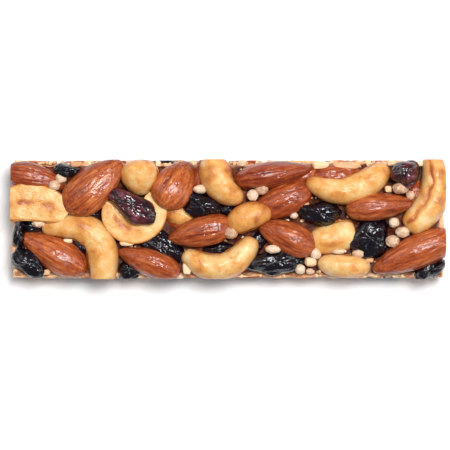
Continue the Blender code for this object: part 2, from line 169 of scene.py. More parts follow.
# Puffed crisps between the pieces: x, y, z of the top, length, width.
CRISPS = (
    (-47.9, 11.9, 12.6, 3.3, 2.9),
    (-49.9, 9.7, 13.2, 3.4, 3.0),
    (-54.5, -1.0, 12.0, 3.7, 2.9),
    (-8.0, 8.6, 13.4, 3.9, 2.6),
    (9.6, 8.6, 13.6, 3.9, 3.2),
    (7.1, 6.9, 13.6, 3.2, 3.2),
    (0.8, -4.0, 14.2, 3.7, 3.5),
    (13.0, -8.6, 13.4, 4.3, 2.6),
    (20.8, -14.4, 12.4, 2.9, 2.9),
    (23.6, -15.0, 11.6, 2.6, 1.7),
    (25.2, -9.9, 12.4, 3.3, 3.2),
    (37.7, -9.8, 12.4, 4.1, 2.6),
    (49.5, 8.9, 14.2, 4.5, 3.5),
    (52.4, 6.9, 12.4, 2.6, 2.6),
    (47.7, -0.9, 13.0, 3.1, 2.9),
    (50.2, -3.7, 13.2, 4.1, 3.2),
    (47.2, -6.3, 13.6, 4.0, 3.5),
    (32.0, -9.2, 11.6, 4.0, 1.7),
    (19.0, 1.1, 11.8, 2.3, 2.0),
)

# Small chopped nuts between the pieces: x, y, z of the top, length, width.
CHOPPED_NUTS = (
    (26.7, 15.6, 11.0, 5.2, 2.4),
    (34.0, 15.5, 10.8, 8.6, 2.2),
    (23.8, -12.2, 11.8, 3.6, 2.9),
    (21.9, 3.5, 12.0, 3.7, 3.7),
    (-29.1, -6.7, 11.6, 4.6, 2.0),
    (-11.8, -14.0, 11.4, 2.6, 4.0),
    (40.7, -11.7, 11.0, 2.6, 1.7),
    (47.2, 16.3, 10.8, 2.9, 2.0),
    (55.5, 16.0, 10.8, 2.6, 1.7),
    (-43.8, 15.8, 11.0, 3.7, 1.7),
    (46.1, 8.7, 12.0, 2.3, 2.0),
    (-52.7, -15.2, 10.8, 3.2, 1.7),
    (-46.2, -6.2, 10.6, 2.9, 1.4),
)


# Numbers that repeat the same way each run

def lattice_directions(cells, seed):
    """A vector for each whole-number cell: its three numbers are mixed into one, cut into three parts."""
    mixed = cells[:, 0] * 73856093 ^ cells[:, 1] * 19349663 ^ cells[:, 2] * 83492791 ^ seed * 2654435
    mixed = (mixed ^ (mixed >> 13)) * 1274126177 & 0xFFFFFFFF
    mixed = (mixed ^ (mixed >> 16)) * 2246822519 & 0xFFFFFFFF
    parts = np.stack([mixed >> 4 & 0xFF, mixed >> 12 & 0xFF, mixed >> 20 & 0xFF], axis=1)
    return parts / 127.5 - 1.0


def noise(points, seed):
    """Smooth noise of about -1 to 1: each corner's vector times the way from it, faded between corners."""
    cells = np.floor(points).astype(np.int64)
    part = points - cells
    fade = part**3 * (part * (part * 6.0 - 15.0) + 10.0)
    total = np.zeros(len(points))
    for corner in itertools.product((0, 1), repeat=3):
        step = np.array(corner)
        share = np.where(step == 1, fade, 1.0 - fade).prod(axis=1)
        total += share * (lattice_directions(cells + step, seed) * (part - step)).sum(axis=1)
    return np.clip(total * 1.4, -1.0, 1.0)


def smooth_step(values, low, high):
    """0 below low, 1 above high, and an S-curve between."""
    share = np.clip((values - low) / (high - low), 0.0, 1.0)
    return share * share * (3.0 - 2.0 * share)


# Surfaces

def ball_points(around, rings):
    """Points on a ball of radius 1 with its poles on X: each ring's points, then the two poles."""
    tilt = np.linspace(0.0, np.pi, rings + 2)[1:-1, None]
    turn = np.linspace(0.0, 2.0 * np.pi, around, endpoint=False)[None, :]
    x = np.cos(tilt) * np.ones_like(turn)
    ring_points = np.stack([x, np.sin(tilt) * np.cos(turn), np.sin(tilt) * np.sin(turn)], axis=-1)
    return np.vstack([ring_points.reshape(-1, 3), [[1.0, 0.0, 0.0], [-1.0, 0.0, 0.0]]])


def ball_faces(around, rings):
    """Quads between neighbouring rings and a fan of triangles at each pole, all facing outwards."""
    ring = np.arange(rings - 1)[:, None] * around
    here = np.arange(around)[None, :]
    beside = (here + 1) % around
    quads = np.stack([ring + here, ring + around + here, ring + around + beside, ring + beside], axis=-1)
    front = around * rings
    here, beside = here[0], beside[0]
    last = around * (rings - 1)
    front_fan = np.stack([np.full(around, front), here, beside], axis=-1)
    back_fan = np.stack([np.full(around, front + 1), last + beside, last + here], axis=-1)
    return quads.reshape(-1, 4).tolist() + front_fan.tolist() + back_fan.tolist()


def almond_surface(ball, length, width, depth, seed):
    """An almond: a ball drawn out to a blunt tip at +X, with shallow ridges from tip to blunt end.

    The ridges are noise sampled slowly along the nut and fast around it, and they fade at both ends.
    Returns the points and the ridge height of 0 to 1.
    """
    along = ball[:, 0]
    swell = (1.0 - 0.20 * along) * (1.0 - 0.16 * ((1.0 + along) / 2.0) ** 3)
    round_way = ball[:, 1:] / np.maximum(np.hypot(ball[:, 1], ball[:, 2]), 1e-6)[:, None]
    wide = np.column_stack([1.0 * along, 3.0 * round_way])
    fine = np.column_stack([2.0 * along + 9.0, 8.0 * round_way])
    ridge = 0.45 * noise(wide, seed) + 0.55 * noise(fine, seed + 1)
    lump = noise(ball * 1.3 + 4.0, seed + 2)
    ends = np.sqrt(np.maximum(1.0 - along**2, 0.0))
    reach = swell * (1.0 + ALMOND_LUMP * lump + ALMOND_RIDGE * ridge * ends)
    half = ball[:, 1:] * reach[:, None] * 0.5 * np.array([width, depth])
    return np.column_stack([along * length / 2.0, half]), np.clip(0.5 + 0.75 * ridge, 0.0, 1.0)


def centre_line(places, length, bend, sharpness):
    """Points and headings on a cashew's centre line: its heading turns as a tanh of the way along."""
    steps = np.linspace(-1.0, 1.0, 129)
    turn = math.radians(bend) / 2.0 * np.tanh(sharpness * steps) / math.tanh(sharpness)
    half_step = length / 2.0 * (steps[1] - steps[0])
    x = np.concatenate([[0.0], np.cumsum((np.cos(turn[1:]) + np.cos(turn[:-1])) / 2.0 * half_step)])
    y = np.concatenate([[0.0], np.cumsum((np.sin(turn[1:]) + np.sin(turn[:-1])) / 2.0 * half_step)])
    x -= np.interp(0.0, steps, x)
    y -= np.interp(0.0, steps, y)
    return np.interp(places, steps, x), np.interp(places, steps, y), np.interp(places, steps, turn)


def cashew_surface(ball, length, width, depth, bend, sharpness, taper, ends, split, seam_turn, seed):
    """A cashew: a blunt-ended tube carried along a bent centre line, uneven by noise in millimetres.

    The seam of its two halves is a dip that runs along it, turned up from the hollow side of the bend
    by seam_turn degrees. A split half has its upper side pressed flat, with a groove down the middle.
    Returns the points and how toasted each is, 0 to 1, darker along the seam as painted shade in its
    crease.
    """
    along = ball[:, 0]
    round_part = np.maximum(np.hypot(ball[:, 1], ball[:, 2]), 1e-9)
    side, up = ball[:, 1] / round_part, ball[:, 2] / round_part
    full = np.maximum(1.0 - along**2, 0.0) ** ends * (1.0 + taper * along)
    spot = np.column_stack([along * length / 2.0, ball[:, 1:] * 0.5 * np.array([width, depth])])
    lump = noise(spot / 5.5 + seed, seed)
    dimple = noise(spot / 2.4 + seed, seed + 1)
    hollow = 0.0 if bend >= 0.0 else 180.0
    seam_at = math.radians(hollow + (seam_turn if bend >= 0.0 else -seam_turn))
    off_seam = np.arctan2(up, side) - seam_at + 0.25 * noise(spot / 3.5 + 7.0, seed + 2)
    off_seam = (off_seam + np.pi) % (2.0 * np.pi) - np.pi
    seam = np.exp(-((off_seam / 0.20) ** 2)) * smooth_step(full, 0.25, 0.85)
    reach = full * (1.0 + CASHEW_LUMP * lump + CASHEW_DIMPLE * dimple - SEAM_DEPTH * seam)
    across = side * reach * width / 2.0
    upward = up * reach * depth / 2.0
    # The seam's share makes the dip darker: painted shade in the crease.
    toast = 0.42 + 0.45 * lump + 0.30 * dimple + 0.60 * seam
    if split:
        place_across = ball[:, 1] / round_part * full + 0.16 * noise(spot / 4.0, seed + 3)
        stain = np.exp(-((place_across / 0.20) ** 2)) * smooth_step(1.0 - np.abs(along), 0.15, 0.6)
        stain = stain * smooth_step(noise(spot / 3.0 + 5.0, seed + 4), -0.9, 0.2)
        rim = smooth_step(np.abs(side), 0.86, 1.0)
        upper = up > 0.0
        upward = np.where(upper, upward * 0.16 - 0.14 * stain + 0.20 * dimple * full, upward)
        toast = np.where(upper, 0.36 + 0.30 * lump + 0.2 * dimple + 0.65 * stain + 0.5 * rim, toast)
    x, y, turn = centre_line(along, length, bend, sharpness)
    points = np.column_stack([x - np.sin(turn) * across, y + np.cos(turn) * across, upward])
    return points, np.clip(toast, 0.0, 1.0)


def fruit_surface(ball, length, width, depth, seed):
    """A shrunken berry: a flattened ball with a few lobes, folded into rounded ridges along its length.

    The folds are the size of smooth noise at two scales, so sharp creases part rounded bulges, with low
    noise under them that makes the outline uneven. Returns the points and the height of the folds, 0 to 1.
    """
    around = np.arctan2(ball[:, 1], ball[:, 0])
    lobes = 1.0 + 0.06 * np.sin(3.0 * around + seed) + 0.04 * np.sin(5.0 * around - 2.0 * seed)
    points = ball * lobes[:, None] * 0.5 * np.array([length, width, depth])
    lengthwise = points * np.array([0.45, 1.0, 1.0])
    bulge = noise(points / 4.5, seed + 3)
    wide = np.abs(noise(lengthwise / 2.9 + seed, seed))
    fine = np.abs(noise(lengthwise / 1.3 + seed, seed + 1))
    height = np.clip(1.20 * wide + 0.40 * fine, 0.0, 1.0)
    relief = FOLD_HEIGHT * (height - 0.40) + BULGE_HEIGHT * bulge
    return points + ball * relief[:, None], height


def crisp_surface(ball, length, width, depth, seed):
    """A puffed crisp: a ball with low bumps, pitted by fine noise. Returns points and pit height."""
    bump = noise(ball * 1.6 + seed, seed)
    pit = noise(ball * 3.6 + seed, seed + 1)
    points = ball * (1.0 + 0.14 * bump + 0.09 * pit)[:, None] * 0.5 * np.array([length, width, depth])
    return points, np.clip(0.5 + 0.8 * pit, 0.0, 1.0)


def chopped_surface(ball, length, width, depth, seed):
    """A broken piece of nut: a ball raised to a blunt box, its faces tilted by low noise."""
    blunt = np.sign(ball) * np.abs(ball) ** 0.6
    tilt = noise(ball * 1.2 + seed, seed)
    grain = noise(ball * 3.4 + seed, seed + 1)
    points = blunt * (0.92 + 0.16 * tilt + 0.05 * grain)[:, None] * 0.5 * np.array([length, width, depth])
    return points, np.clip(0.5 + 0.6 * grain, 0.0, 1.0)


def tube_faces(places, around):
    """Quads of a tube that closes on itself, facing outwards."""
    row = np.arange(places)[:, None] * around
    next_row = (row + around) % (places * around)
    here = np.arange(around)[None, :]
    beside = (here + 1) % around
    corners = [row + here, next_row + here, next_row + beside, row + beside]
    return np.stack(corners, axis=-1).reshape(-1, 4).tolist()


def turned(points, heading, tilt=0.0, roll=0.0):
    """Points turned by the roll about X, then the tilt about Y, then the heading about Z, in degrees."""
    for angle, first, second in ((roll, 1, 2), (tilt, 2, 0), (heading, 0, 1)):
        cosine, sine = math.cos(math.radians(angle)), math.sin(math.radians(angle))
        a, b = points[:, first].copy(), points[:, second].copy()
        points = points.copy()
        points[:, first] = a * cosine - b * sine
        points[:, second] = a * sine + b * cosine
    return points


def pressed(points, inset=0.0):
    """Points held inside the four cuts and above the tray, and how far outside the cuts each one was.

    An inset piece stays a little above the tray too, so that no two flat undersides lie in one plane.
    """
    limits = np.array([BAR_LENGTH / 2.0 - inset, BAR_WIDTH / 2.0 - inset])
    outside = np.max(np.abs(points[:, :2]) - limits, axis=1)
    held = points.copy()
    held[:, :2] = np.clip(points[:, :2], -limits, limits)
    held[:, 2] = np.maximum(points[:, 2], inset / 4.0)
    return held, np.maximum(outside, 0.0)


# Pieces

def make_piece(name, points, faces, finish, values, nodes, slot):
    """A mesh object of these points, in mm, that rides on the bar and stands for the CAD nodes."""
    mesh = bpy.data.meshes.new(name)
    mesh.from_pydata((points * MM).tolist(), [], faces)
    for label, numbers in values.items():
        if numbers.ndim == 2:
            layer = mesh.attributes.new(label, "FLOAT_VECTOR", "POINT")
            layer.data.foreach_set("vector", numbers.astype(np.float32).ravel())
        else:
            layer = mesh.attributes.new(label, "FLOAT", "POINT")
            layer.data.foreach_set("value", numbers.astype(np.float32))
    mesh.shade_smooth()
    mesh.materials.append(finish)
    piece = bpy.data.objects.new(name, mesh)
    bpy.context.scene.collection.objects.link(piece)
    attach(piece, "root")
    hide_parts(*nodes)
    return piece


def join_shapes(shapes):
    """Several shapes, each its points, values and faces, as one set of points, values and faces."""
    points = np.vstack([shape for shape, _, _ in shapes])
    values = {label: np.concatenate([found[label] for _, found, _ in shapes]) for label in shapes[0][1]}
    starts = np.cumsum([0] + [len(shape) for shape, _, _ in shapes])
    faces = []
    for start, (_, _, own_faces) in zip(starts, shapes):
        faces += [[start + corner for corner in face] for face in own_faces]
    return points, values, faces


def set_in_bar(shape, detail, x, y, z, heading, tone, tilt=0.0, roll=0.0, inset=0.0):
    """A surface turned, moved to its place and pressed, with the values that its material reads.

    The values are its detail, how far down its flank each point is, its tone, how deep the cut lies
    below it, and each point's place on the piece itself in millimetres, shifted from piece to piece.
    """
    moved = turned(shape, heading, tilt, roll)
    top, bottom = moved[:, 2].max(), moved[:, 2].min()
    held, outside = pressed(moved + np.array([x, y, z]), inset)
    values = {
        "detail": detail,
        "flank": (top - moved[:, 2]) / (top - bottom),
        "tone": np.full(len(held), tone),
        "cut": outside,
        "own_place": shape + 97.0 * tone,
    }
    return held, values


def add_almonds(finish):
    """The whole almonds on top."""
    around, rings = 120, 90
    ball, faces = ball_points(around, rings), ball_faces(around, rings)
    for number, row in enumerate(ALMONDS, 1):
        x, y, z, length, width, depth, heading, tilt, roll = row
        shape, ridge = almond_surface(ball, length, width, depth, 10 * number)
        points, values = set_in_bar(shape, ridge, x, y, z, heading, ALMOND_PALENESS[number - 1], tilt, roll)
        node = f"almond_{number:02d}"
        make_piece("whole_" + node, points, faces, finish, values, [node], "almond_skin")


def add_cashews(finish):
    """The whole and split cashews on top."""
    around, rings = 100, 110
    ball, faces = ball_points(around, rings), ball_faces(around, rings)
    for number, (x, y, z, length, width, depth, heading, *form) in enumerate(CASHEWS, 1):
        seam_turn = SEAM_TURNS.get(number, USUAL_SEAM_TURN)
        shape, toast = cashew_surface(ball, length, width, depth, *form, seam_turn, 10 * number + 3)
        points, values = set_in_bar(shape, toast, x, y, z, heading, CASHEW_TOAST[number - 1])
        node = f"cashew_{number:02d}"
        make_piece("whole_" + node, points, faces, finish, values, [node], "cashew_flesh")


def add_dried_fruit(dark_finish, red_finish):
    """The dried fruit on top."""
    around, rings = 130, 90
    ball, faces = ball_points(around, rings), ball_faces(around, rings)
    draw = random.Random(7)
    for number, (x, y, z, length, width, depth, heading) in enumerate(DRIED_FRUIT, 1):
        shape, wrinkle = fruit_surface(ball, length, width, depth, number)
        points, values = set_in_bar(shape, wrinkle, x, y, z, heading, draw.random())
        finish = red_finish if number in RED_FRUIT else dark_finish
        node = f"dried_fruit_{number:02d}"
        make_piece("whole_" + node, points, faces, finish, values, [node], "fruit_skin")


def lower_spots():
    """Where the lower layer's pieces lie along the sides and ends, with the kind and size of each."""
    draw = random.Random(LOWER_SEED)
    half_length = BAR_LENGTH / 2.0 - LOWER_INSET
    half_width = BAR_WIDTH / 2.0 - LOWER_INSET
    along_side = np.arange(-half_length + 4.0, half_length - 3.0, LOWER_SPACING)
    spots = [(x, -half_width, 0.0) for x in along_side] + [(x, half_width, 0.0) for x in along_side]
    spots += [(side * half_length, y, 90.0) for side in (-1.0, 1.0) for y in (-9.0, 0.0, 9.0)]
    for number, (x, y, heading) in enumerate(spots, 1):
        kind = draw.choice(("almond", "cashew", "fruit"))
        length = draw.uniform(12.0, 16.0)
        width = draw.uniform(6.4, 7.8)
        turn = heading + draw.uniform(-22.0, 22.0)
        z = LOWER_HEIGHT + draw.uniform(-0.5, 0.6)
        yield number, kind, x, y, z, length, width, turn


def bottom_spots():
    """Where the pieces that show on the underside lie: three rows, moved about and turned at random."""
    draw = random.Random(LOWER_SEED + 1)
    places = itertools.product(range(BOTTOM_COLUMNS), range(BOTTOM_ROWS))
    for number, (column, row) in enumerate(places, 101):
        kind = draw.choice(("almond", "cashew", "fruit"))
        x = -50.0 + 12.5 * column + draw.uniform(-2.0, 2.0)
        y = -9.6 + 9.6 * row + draw.uniform(-1.2, 1.2)
        z = draw.uniform(2.4, 3.0)
        length = draw.uniform(12.0, 16.0)
        width = draw.uniform(6.4, 8.0)
        turn = draw.uniform(0.0, 180.0)
        yield number, kind, x, y, z, length, width, turn


def add_lower_layer(finishes):
    """The pieces under the top ones: they show at the sides, at the ends and on the underside."""
    around, rings = 64, 50
    ball, faces = ball_points(around, rings), ball_faces(around, rings)
    draw = random.Random(9)
    bend, sharpness, taper, ends, split = 60.0, 0.8, 0.0, 0.4, False
    found = {"almond": [], "cashew": [], "fruit": []}
    for number, kind, x, y, z, length, width, turn in [*lower_spots(), *bottom_spots()]:
        if kind == "almond":
            shape, detail = almond_surface(ball, length, width, width, number)
        elif kind == "cashew":
            form = (bend, sharpness, taper, ends, split, USUAL_SEAM_TURN)
            shape, detail = cashew_surface(ball, length, width, width, *form, number)
        else:
            shape, detail = fruit_surface(ball, length * 0.8, width, width * 0.9, number)
        inset = draw.uniform(0.1, 0.4)
        points, values = set_in_bar(shape, detail, x, y, z, turn, draw.random(), inset=inset)
        found[kind].append((points, values, faces))
    slots = {"almond": "almond_skin", "cashew": "cashew_flesh", "fruit": "fruit_skin"}
    for kind, shapes in found.items():
        points, values, own_faces = join_shapes(shapes)
        make_piece(f"lower_{kind}_pieces", points, own_faces, finishes[kind], values, ["base"], slots[kind])


def add_small_pieces(crisp_finish, chopped_finish):
    """The puffed crisps and chopped nuts between the pieces, and more of both pressed into the sides."""
    around, rings = 30, 20
    ball, faces = ball_points(around, rings), ball_faces(around, rings)
    draw = random.Random(13)
    crisps = [(x, y, top, length, width, 0.0) for x, y, top, length, width in CRISPS]
    chopped = [(x, y, top, length, width, 0.0) for x, y, top, length, width in CHOPPED_NUTS]
    for number in range(SIDE_PIECE_COUNT):
        size = draw.uniform(2.2, 3.8)
        side = draw.choice((-1.0, 1.0))
        if number % 5:
            x = draw.uniform(-BAR_LENGTH / 2.0 + 1.5, BAR_LENGTH / 2.0 - 1.5)
            y = side * (BAR_WIDTH / 2.0 - draw.uniform(0.8, 1.8))
        else:
            x = side * (BAR_LENGTH / 2.0 - draw.uniform(0.8, 1.8))
            y = draw.uniform(-BAR_WIDTH / 2.0 + 1.5, BAR_WIDTH / 2.0 - 1.5)
        top = draw.uniform(2.0, BASE_TOP + 0.2)
        target = crisps if number % 2 else chopped
        target.append((x, y, top, size, size * draw.uniform(0.6, 0.95), draw.uniform(0.0, 180.0)))
    for name, spots, surface, finish in (
        ("puffed_crisps", crisps, crisp_surface, crisp_finish),
        ("chopped_nuts", chopped, chopped_surface, chopped_finish),
    ):
        shapes = []
        for number, (x, y, top, length, width, heading) in enumerate(spots, 1):
            depth = 0.9 * min(length, 1.25 * width)
            shape, detail = surface(ball, length, width, depth, 5 * number)
            tone = draw.random() ** 2
            inset = draw.uniform(0.03, 0.25)
            points, values = set_in_bar(shape, detail, x, y, top - depth / 2.0, heading, tone, inset=inset)
            shapes.append((points, values, faces))
        points, values, own_faces = join_shapes(shapes)
        make_piece(name, points, own_faces, finish, values, ["base"], "syrup_base")


def add_crumbs(finish):
    """Crumbs of crisp and nut stuck on the base: most along its upper edges and on its sides."""
    around, rings = 7, 5
    ball, faces = ball_points(around, rings), ball_faces(around, rings)
    draw = random.Random(17)
    shapes = []
    for number in range(CRUMB_COUNT):
        size = draw.uniform(0.5, 1.5)
        x = draw.uniform(-BAR_LENGTH / 2.0 + 0.6, BAR_LENGTH / 2.0 - 0.6)
        y = draw.uniform(-BAR_WIDTH / 2.0 + 0.6, BAR_WIDTH / 2.0 - 0.6)
        z = BASE_TOP + draw.uniform(-0.6, 0.7)
        if number % 5:
            x, y = wall_spot(draw, x, y)
            z = draw.uniform(0.5, BASE_TOP - 0.4)
        shape, detail = chopped_surface(ball, size, size * 0.8, size * 0.7, number)
        turn = draw.uniform(0.0, 180.0)
        tilt = draw.uniform(-40.0, 40.0)
        inset = draw.uniform(0.03, 0.25)
        points, values = set_in_bar(shape, detail, x, y, z, turn, draw.random(), tilt=tilt, inset=inset)
        shapes.append((points, values, faces))
    points, values, own_faces = join_shapes(shapes)
    make_piece("crumbs", points, own_faces, finish, values, ["base"], "syrup_base")


def wall_spot(draw, x, y):
    """The same spot moved out to the nearer side or end, just inside the base's face."""
    if draw.random() < 0.22:
        return math.copysign(BAR_LENGTH / 2.0 - draw.uniform(0.7, 1.2), x), y
    return x, math.copysign(BAR_WIDTH / 2.0 - draw.uniform(0.7, 1.2), y)


def add_base(finish):
    """The syrup-bound mass that everything is pressed into.

    It is a ball raised to a blunt box by dividing each point by its largest coordinate, then moved in
    and out by noise at three sizes, least at the tray, which the nuts and fruit below it touch first.
    """
    around, rings = 240, 400
    ball = ball_points(around, rings)
    box = ball / np.max(np.abs(ball), axis=1)[:, None]
    half = np.array([BAR_LENGTH / 2.0 - 1.1, BAR_WIDTH / 2.0 - 1.5, BASE_TOP / 2.0])
    points = box * half + np.array([0.0, -0.3, BASE_TOP / 2.0])
    rough = 0.9 * noise(points / 5.0, 71) + 0.55 * noise(points / 2.2, 72) + 0.18 * noise(points / 1.1, 73)
    outward = box / np.linalg.norm(box, axis=1)[:, None]
    share = smooth_step(points[:, 2], 0.0, 1.5)
    points = points + outward * np.array([0.55, 0.95, 0.9]) * (rough * share)[:, None]
    points, _ = pressed(points, 0.4)
    points[:, 2] = np.maximum(points[:, 2], 0.25 + 0.15 * noise(points / 1.8, 74))
    from_edge = np.max(np.abs(points[:, :2]) - [BAR_LENGTH / 2.0, BAR_WIDTH / 2.0], axis=1)
    values = {"edge": smooth_step(from_edge, -2.0, -1.0)}
    faces = ball_faces(around, rings)
    make_piece("syrup_bound_base", points, faces, finish, values, ["base"], "syrup_base")


def add_syrup_edge(finish):
    """Syrup and crumb along the upper edges of the base: a broken, uneven rope just inside the cuts.

    Its centre runs round a rectangle and wanders in and out by noise, which also moves its radius. It
    lies further in along the left of the far side, where the photo shows hardly any pale edge.
    """
    places, around = 900, 14
    half = np.array([BAR_LENGTH / 2.0 - 0.9, BAR_WIDTH / 2.0 - 0.9])
    corners = np.array([(1, -1), (1, 1), (-1, 1), (-1, -1), (1, -1)]) * half
    way = np.concatenate([[0.0], np.cumsum(np.linalg.norm(np.diff(corners, axis=0), axis=1))])
    steps = np.linspace(0.0, way[-1], places, endpoint=False)
    centre = np.column_stack([np.interp(steps, way, corners[:, axis]) for axis in (0, 1)])
    outward = (centre / half) ** 15
    outward /= np.linalg.norm(outward, axis=1)[:, None]
    angle = np.linspace(0.0, 2.0 * np.pi, around, endpoint=False)[None, :]
    level = np.column_stack([centre, np.full(places, BASE_TOP)])
    drawn_in = smooth_step(centre[:, 1], 0.0, 10.0) * smooth_step(-centre[:, 0], -28.0, -12.0)
    sideways = (0.55 * noise(level / 5.0, 85) - 0.8 * drawn_in)[:, None] * outward
    wander = 0.55 * noise(level / 4.0, 81) + 0.18 * noise(level / 2.0, 82)
    radius = np.clip(0.42 + 0.70 * noise(level / 3.5, 83), 0.10, 0.95)[:, None]
    flat = (np.cos(angle) * radius)[..., None] * outward[:, None, :]
    points = np.concatenate([
        (centre + sideways)[:, None, :] + flat,
        (BASE_TOP - 0.9 + wander[:, None] + 1.1 * np.sin(angle) * radius)[..., None],
    ], axis=-1).reshape(-1, 3)
    points = points + (0.07 * noise(points / 1.3, 84))[:, None]
    points, _ = pressed(points, 0.05)
    values = {"edge": np.ones(len(points))}
    make_piece("syrup_edge", points, tube_faces(places, around), finish, values, ["base"], "syrup_base")


# Finishes

def linear(red, green, blue):
    """A colour of 0 to 255 as the eye sees it, in the renderer's linear numbers."""
    shares = [value / 255.0 for value in (red, green, blue)]
    lit = [share / 12.92 if share <= 0.04045 else ((share + 0.055) / 1.055) ** 2.4 for share in shares]
    return (*lit, 1.0)


class Finish:
    """One material while its nodes are put together."""

    def __init__(self, name, own_place=True, **settings):
        self.material = bpy.data.materials.new(name)
        self.material.use_nodes = True
        self.nodes = self.material.node_tree.nodes
        self.links = self.material.node_tree.links
        self.shader = self.nodes["Principled BSDF"]
        for socket, value in settings.items():
            self.shader.inputs[socket.replace("_", " ")].default_value = value
        if own_place:
            node = self.nodes.new("ShaderNodeAttribute")
            node.attribute_name = "own_place"
            self.place, self.place_scale = node.outputs["Vector"], 1.0
        else:
            self.place, self.place_scale = self.nodes.new("ShaderNodeTexCoord").outputs["Object"], 1.0 / MM

    def join(self, value, socket):
        """Links a node's output, or sets a plain number or colour."""
        if isinstance(value, bpy.types.NodeSocket):
            self.links.new(value, socket)
        else:
            socket.default_value = value

    def attribute(self, name):
        """A number stored on the surface."""
        node = self.nodes.new("ShaderNodeAttribute")
        node.attribute_name = name
        return node.outputs["Fac"]

    def speckle(self, size, detail=3.0, roughness=0.55, stretch=(1.0, 1.0, 1.0)):
        """Noise whose features are about this many millimetres across."""
        node = self.nodes.new("ShaderNodeTexNoise")
        node.inputs["Scale"].default_value = self.place_scale / size
        node.inputs["Detail"].default_value = detail
        node.inputs["Roughness"].default_value = roughness
        mapping = self.nodes.new("ShaderNodeMapping")
        mapping.inputs["Scale"].default_value = stretch
        self.links.new(self.place, mapping.inputs["Vector"])
        self.links.new(mapping.outputs["Vector"], node.inputs["Vector"])
        return node.outputs["Fac"]

    def ramp(self, value, *stops):
        """Colours spread along a value: each stop is its place and its colour."""
        node = self.nodes.new("ShaderNodeValToRGB")
        band = node.color_ramp
        while len(band.elements) < len(stops):
            band.elements.new(0.5)
        for element, (place, colour) in zip(band.elements, stops):
            element.position = place
            element.color = colour
        self.join(value, node.inputs["Fac"])
        return node.outputs["Color"]

    def mix(self, share, first, second, blend="MIX"):
        """The first colour where the share is 0, the second where it is 1."""
        node = self.nodes.new("ShaderNodeMix")
        node.data_type = "RGBA"
        node.blend_type = blend
        self.join(share, node.inputs["Factor"])
        colours = [socket for socket in node.inputs if socket.type == "RGBA"]
        self.join(first, colours[0])
        self.join(second, colours[1])
        return next(socket for socket in node.outputs if socket.type == "RGBA")

    def span(self, value, low, high, to_low=0.0, to_high=1.0):
        """The value moved from one range to another, and kept inside it."""
        node = self.nodes.new("ShaderNodeMapRange")
        self.join(value, node.inputs["Value"])
        ends = {"From Min": low, "From Max": high, "To Min": to_low, "To Max": to_high}
        for socket, number in ends.items():
            node.inputs[socket].default_value = number
        return node.outputs["Result"]

    def weigh(self, *parts):
        """The sum of several values, each times its weight."""
        total = None
        for value, weight in parts:
            node = self.nodes.new("ShaderNodeMath")
            node.operation = "MULTIPLY_ADD"
            self.join(value, node.inputs[0])
            node.inputs[1].default_value = weight
            self.join(0.0 if total is None else total, node.inputs[2])
            total = node.outputs["Value"]
        return total

    def bump(self, height, depth, glaze=None, glaze_depth=0.0):
        """Bumps of this depth in millimetres on the surface, and the glaze's own bumps on the coat."""
        node = self.nodes.new("ShaderNodeBump")
        node.inputs["Distance"].default_value = depth * MM
        self.links.new(height, node.inputs["Height"])
        self.links.new(node.outputs["Normal"], self.shader.inputs["Normal"])
        coat = node
        if glaze is not None:
            coat = self.nodes.new("ShaderNodeBump")
            coat.inputs["Distance"].default_value = glaze_depth * MM
            self.links.new(glaze, coat.inputs["Height"])
            self.links.new(node.outputs["Normal"], coat.inputs["Normal"])
        self.links.new(coat.outputs["Normal"], self.shader.inputs["Coat Normal"])

    def paint(self, colour, roughness=None):
        """Links the base colour, and the roughness if it is given."""
        self.links.new(colour, self.shader.inputs["Base Color"])
        if roughness is not None:
            self.links.new(roughness, self.shader.inputs["Roughness"])
        return self.material


def almond_finish():
    """Ribbed brown skin: dark in the grooves, orange on the ridges, darker down its flanks with syrup and
    painted shade, cream where the knife cut.
    """
    made = Finish("almond_skin_ribbed", Coat_Weight=1.0, Coat_Roughness=0.06, Specular_IOR_Level=0.05)
    ridge = made.attribute("detail")
    rib = made.speckle(0.85, 3.0, 0.55, (0.10, 1.0, 1.0))
    fibre = made.speckle(0.38, 3.0, 0.6, (0.13, 1.0, 1.0))
    patch = made.speckle(4.0, 3.0, 0.5, (0.6, 1.0, 1.0))
    grain = made.speckle(1.1, 3.0, 0.55, (0.6, 1.0, 1.0))
    height = made.weigh((ridge, 0.30), (rib, 0.36), (fibre, 0.28), (grain, 0.75))
    shade = made.weigh((ridge, 0.20), (rib, 0.34), (fibre, 0.42), (patch, 0.18))
    skin = made.ramp(
        shade,
        (0.42, linear(118, 48, 22)),
        (0.51, linear(158, 74, 36)),
        (0.60, linear(190, 98, 50)),
        (0.72, linear(222, 142, 80)),
    )
    tint = made.mix(made.attribute("tone"), linear(206, 166, 158), linear(255, 250, 240))
    tinted = made.mix(1.0, skin, tint, "MULTIPLY")
    # Down its flanks the skin darkens towards dark brown: partly syrup that collects low down, partly
    # painted shade.
    low = made.span(made.attribute("flank"), 0.20, 0.62, 0.0, 0.62)
    syrup_and_painted_shade = made.mix(low, tinted, linear(92, 32, 14))
    cut = made.span(made.attribute("cut"), 0.06, 0.24)
    flesh = made.ramp(fibre, (0.3, linear(232, 198, 158)), (0.7, linear(248, 226, 196)))
    glaze = made.speckle(0.9, 2.0, 0.5, (0.8, 1.0, 1.0))
    made.bump(height, 0.19, glaze, 0.26)
    return made.paint(made.mix(cut, syrup_and_painted_shade, flesh), made.span(fibre, 0.3, 0.7, 0.34, 0.52))


